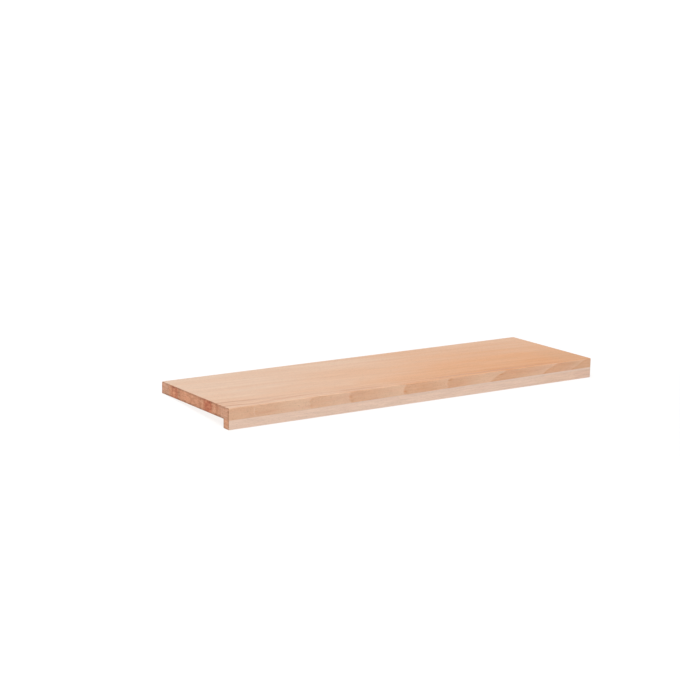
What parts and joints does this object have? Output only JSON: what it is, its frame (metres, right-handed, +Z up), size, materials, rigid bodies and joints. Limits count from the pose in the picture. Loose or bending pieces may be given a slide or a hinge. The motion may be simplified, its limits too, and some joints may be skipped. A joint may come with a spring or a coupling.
{
  "type": "stair tread",
  "caption": "Flat beech stair tread with a lip glued under its front edge, laid over an old step to renew it.",
  "frame": {"origin": "middle of the bounding box's underside, level with the lip's lower face", "axes": "+X along the tread's length, +Y from the front edge to the back, +Z up"},
  "size_m": [0.8, 0.23, 0.0375],
  "materials": {
    "board_beech": "steamed beech, planed and sanded, matt",
    "lip_beech": "pale beech, planed and sanded, matt"
  },
  "bodies": {
    "root": {"tread_board": "board_beech", "nosing_lip": "lip_beech"}
  },
  "joints": []
}
